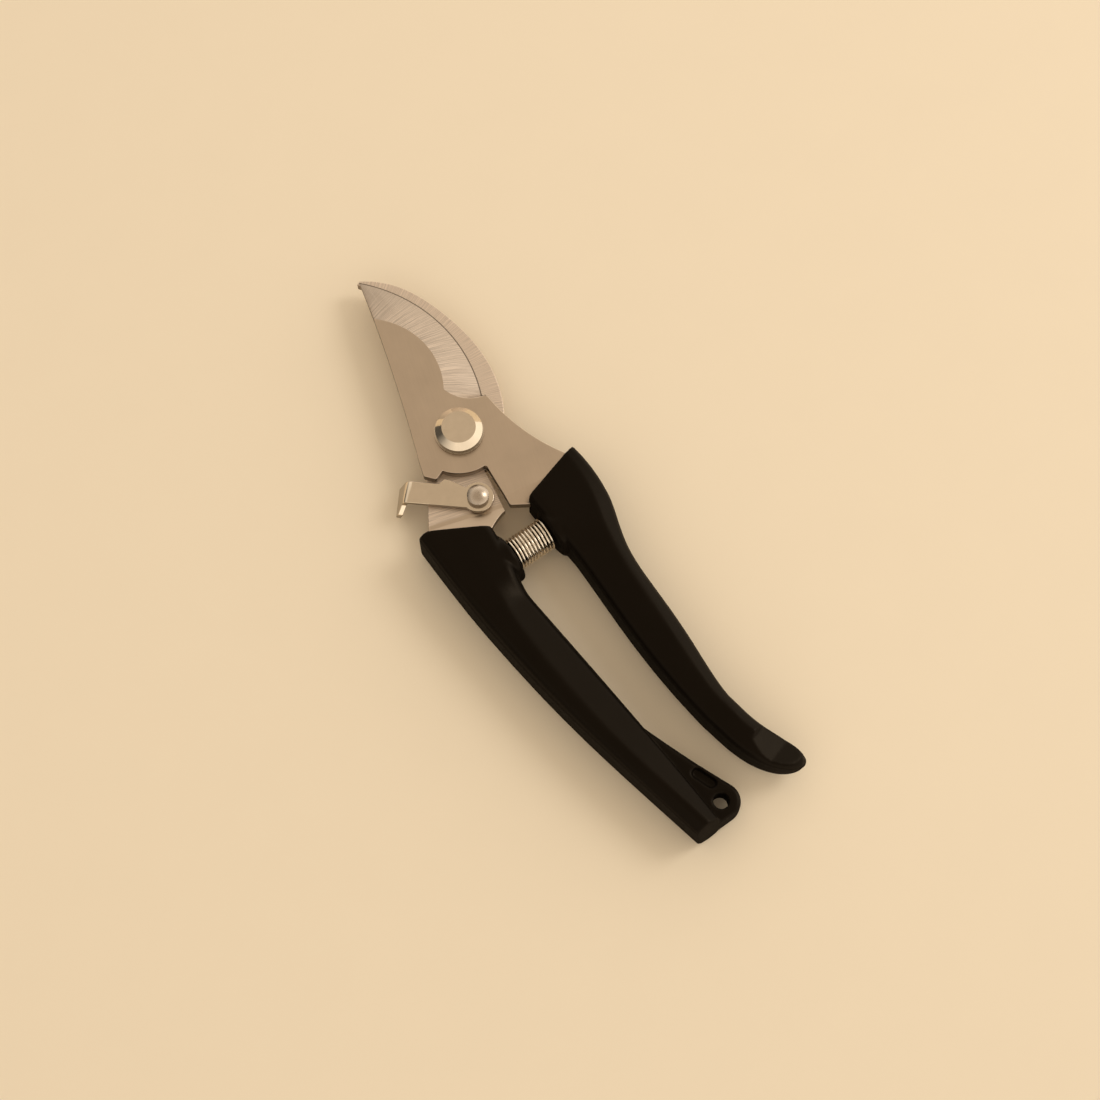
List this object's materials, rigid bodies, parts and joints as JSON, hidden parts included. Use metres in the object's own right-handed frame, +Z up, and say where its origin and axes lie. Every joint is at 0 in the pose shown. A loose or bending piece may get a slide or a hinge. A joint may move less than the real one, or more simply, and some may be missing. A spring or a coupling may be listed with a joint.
{
  "type": "pruning shears",
  "caption": "Bypass pruning shears with a curved cutting blade over a hooked counter blade, black moulded grips, a coil return spring and a thumb catch that locks them shut.",
  "frame": {"origin": "bottom centre of the closed shears' bounding box, on the surface they lie on", "axes": "+Y from the grips to the blade tip, +Z up from the surface and along the pivot, +X from the left grip to the right grip"},
  "size_m": [0.0554, 0.2044, 0.016],
  "materials": {
    "blade_steel": "ground, fine brush marks",
    "counter_steel": "ground, fine brush marks",
    "plated_steel": "polished plating",
    "rivet_steel": "satin",
    "spring_steel": "polished wire",
    "grip_plastic": "fine matte texture"
  },
  "bodies": {
    "lower_half": {"counter_blade": "counter_steel", "left_grip": "grip_plastic", "pivot_bolt": "plated_steel", "pivot_head_washer": "plated_steel", "pivot_lock_washer": "plated_steel", "pivot_nut": "plated_steel", "catch_rivet": "rivet_steel", "catch_washer": "plated_steel", "return_spring": "spring_steel"},
    "upper_half": {"cutting_blade": "blade_steel", "right_grip": "grip_plastic"},
    "catch": {"lock_catch": "plated_steel"}
  },
  "joints": [
    {"name": "blade_hinge", "type": "hinge", "parent": "lower_half", "child": "upper_half", "pos_m": [0.00242, 0.0406, 0.008], "axis": [0, 0, 1], "range_deg": [0, 20], "deforming": ["return_spring"]},
    {"name": "catch_hinge", "type": "hinge", "parent": "lower_half", "child": "catch", "pos_m": [-0.00478, 0.0204, 0.00833], "axis": [0, 0, 1], "range_deg": [0, 24]}
  ],
  "couplings": [
    {"joint": "catch_hinge", "follows": "blade_hinge", "ratio": 1.2}
  ]
}
